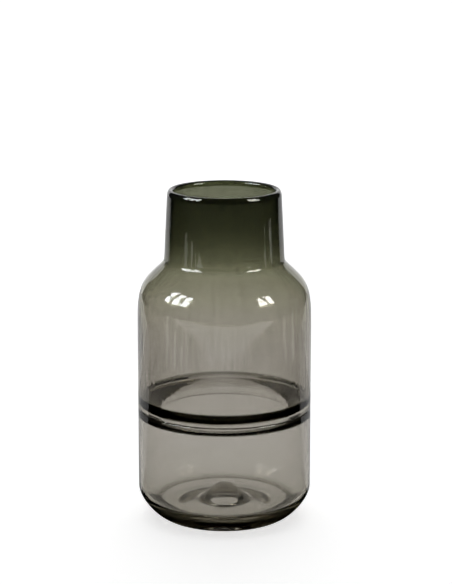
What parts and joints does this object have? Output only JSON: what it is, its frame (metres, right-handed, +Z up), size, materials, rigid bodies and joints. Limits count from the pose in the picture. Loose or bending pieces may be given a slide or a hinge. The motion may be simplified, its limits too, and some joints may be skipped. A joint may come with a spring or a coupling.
{
  "type": "glass vase",
  "caption": "Blown smoked-glass flower vase with a short wide neck, rounded shoulder, an inner shelf with a round hole at the waist, and a thick base.",
  "frame": {"origin": "centre of the resting plane under the base", "axes": "+Z up along the vase's axis; X and Y are alike"},
  "size_m": [0.13, 0.13, 0.25],
  "materials": {
    "clear_glass_upper": "polished, clear with a faint grey tone",
    "olive_smoke_glass": "polished, olive smoke, darkest at the neck",
    "clear_glass_lower": "polished, clear with a faint grey tone",
    "grey_smoke_glass": "polished, neutral grey smoke",
    "scar_glass": "rough broken glass"
  },
  "bodies": {
    "root": {"upper_casing": "clear_glass_upper", "upper_smoke_lining": "olive_smoke_glass", "lower_casing": "clear_glass_lower", "lower_smoke_lining": "grey_smoke_glass", "pontil_scar": "scar_glass"}
  },
  "joints": []
}
